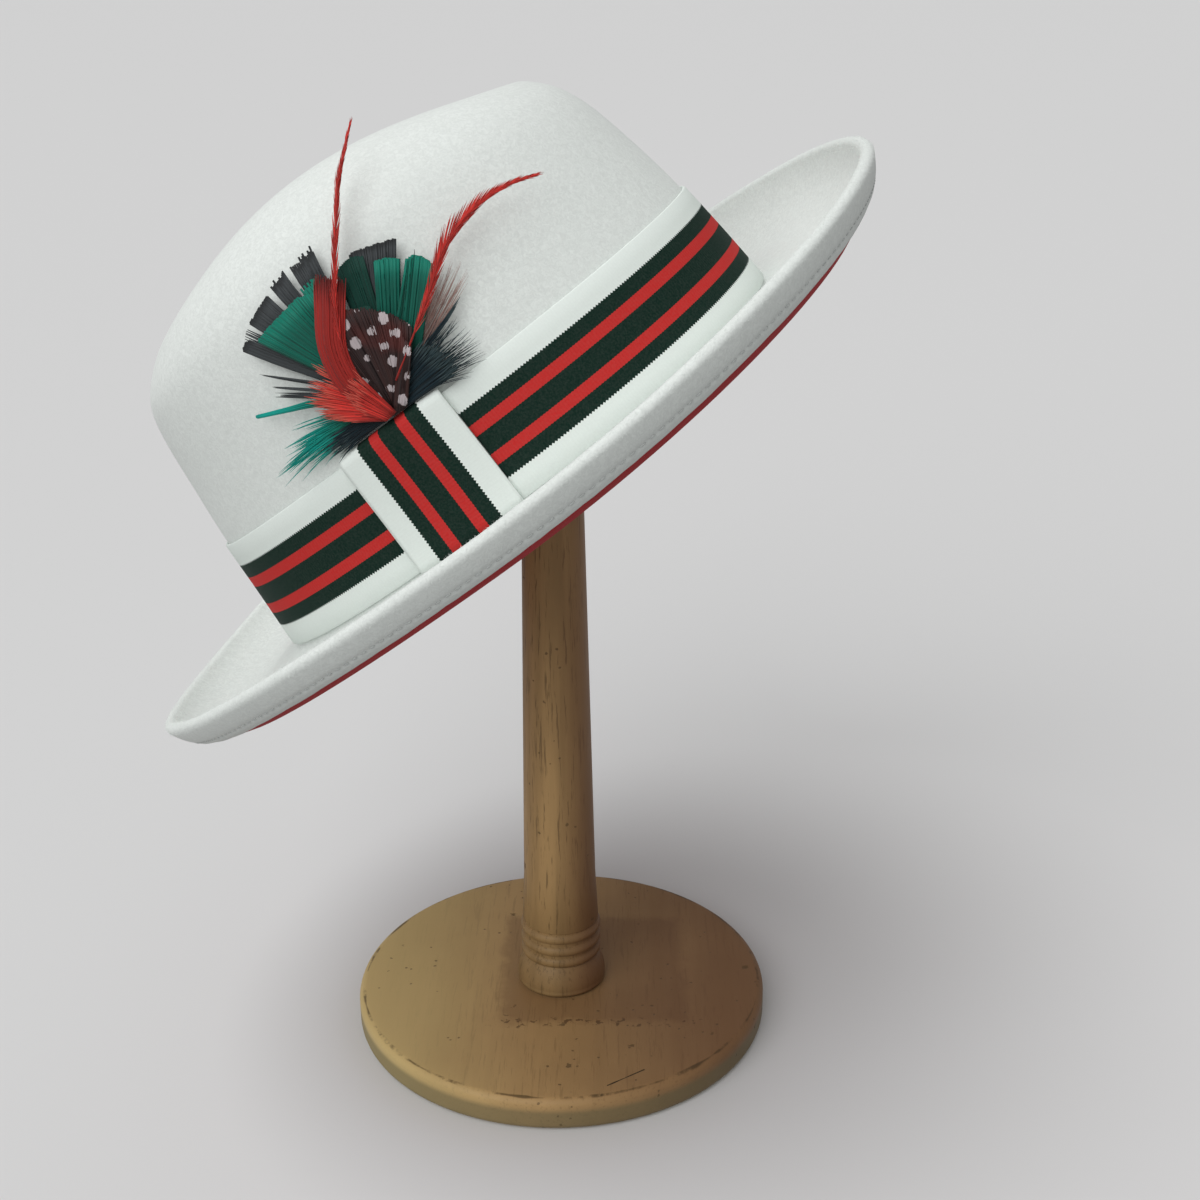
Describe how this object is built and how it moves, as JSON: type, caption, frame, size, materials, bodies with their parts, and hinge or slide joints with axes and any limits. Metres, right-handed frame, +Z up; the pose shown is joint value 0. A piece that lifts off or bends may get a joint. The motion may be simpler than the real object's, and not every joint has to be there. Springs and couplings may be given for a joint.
{
  "type": "fedora on a wooden hat stand",
  "caption": "White felt fedora with red inner felt, striped ribbon band, flat ribbon loop and feather plume, tipped on a turned wooden hat stand.",
  "frame": {"origin": "centre of the flat underside of the stand's round base", "axes": "+Z up along the stand's post; the hat's front dips towards -X and its feather trim faces -Y"},
  "size_m": [0.2457, 0.284, 0.3543],
  "materials": {
    "white_felt": "off-white wool felt with a short nap",
    "red_felt": "deep red wool felt",
    "ribbon": "ribbed ribbon with woven stripes",
    "feather": "short dyed feathers, satin",
    "hackle": "long dyed hackle feathers, satin",
    "wood": "light brown wood, worn satin varnish"
  },
  "bodies": {
    "root": {"outer_felt": "white_felt", "inner_felt": "red_felt", "sweatband": "red_felt", "ribbon_band": "ribbon", "ribbon_keeper": "ribbon", "feather_plume": "feather", "hackle_front": "hackle", "hackle_back": "hackle", "stand_base": "wood", "stand_post": "wood"}
  },
  "joints": []
}
